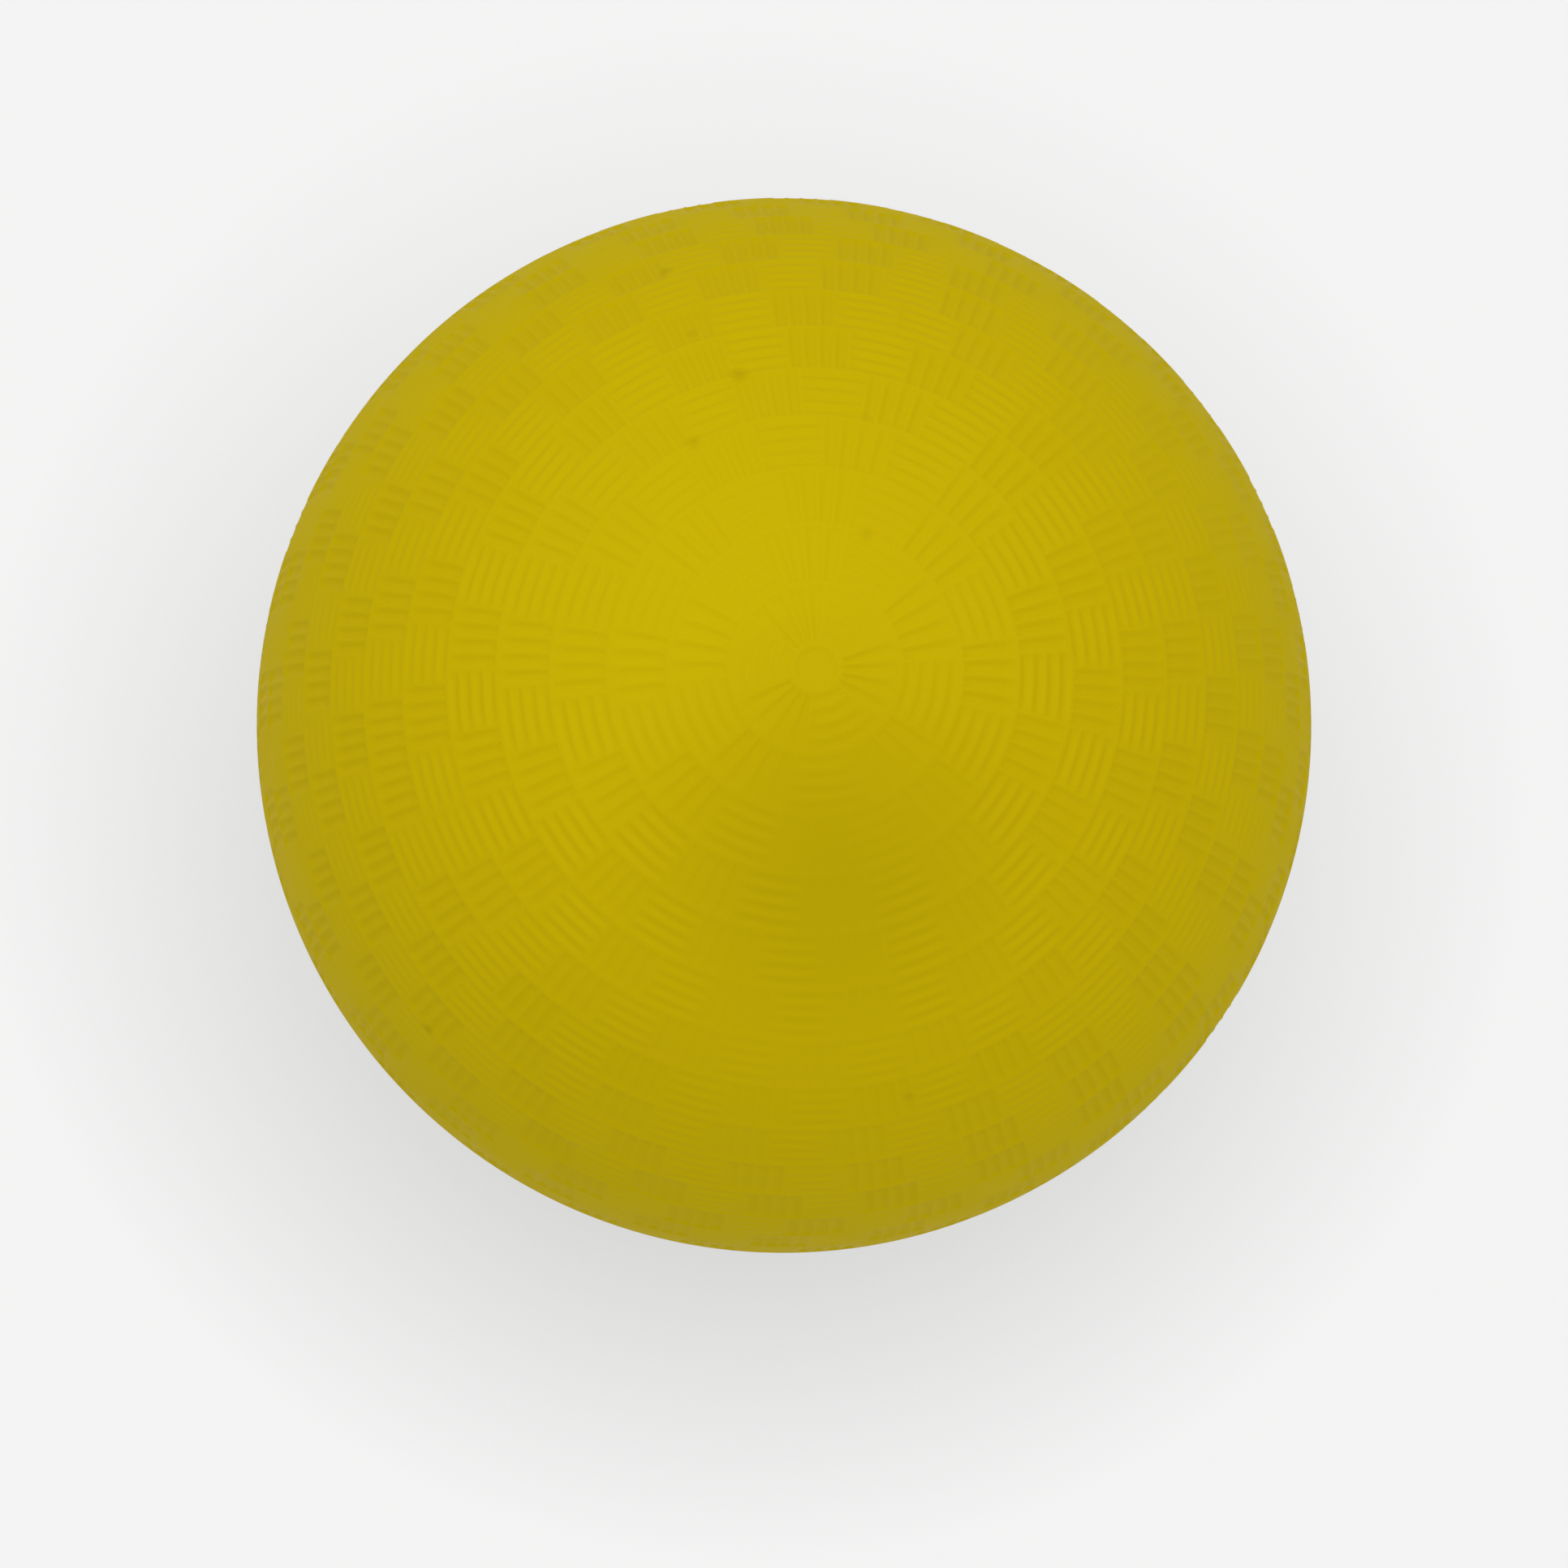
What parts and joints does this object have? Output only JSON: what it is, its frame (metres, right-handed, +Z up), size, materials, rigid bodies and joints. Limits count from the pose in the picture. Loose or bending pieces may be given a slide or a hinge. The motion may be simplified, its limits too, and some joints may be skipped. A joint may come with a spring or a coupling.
{
  "type": "rubber gymnastics ball",
  "caption": "Hollow inflatable rubber ball with a moulded basket-weave grip surface, an airtight bladder and a self-sealing needle valve on a smooth pad.",
  "frame": {"origin": "centre of the small flat patch that the ball rests on, on the floor plane", "axes": "+Z up through the pole of the moulded weave, +Y to the side that carries the valve"},
  "size_m": [0.18, 0.18, 0.1795],
  "materials": {
    "cover_rubber": "matte moulded yellow rubber with a fine basket-weave relief",
    "bladder_rubber": "smooth dark butyl rubber",
    "housing_rubber": "matte dark moulded rubber",
    "insert_rubber": "semi-matte soft rubber, a little duller than the cover"
  },
  "bodies": {
    "root": {"upper_cover": "cover_rubber", "lower_cover": "cover_rubber", "bladder": "bladder_rubber", "valve_housing": "housing_rubber", "valve_insert": "insert_rubber"}
  },
  "joints": []
}
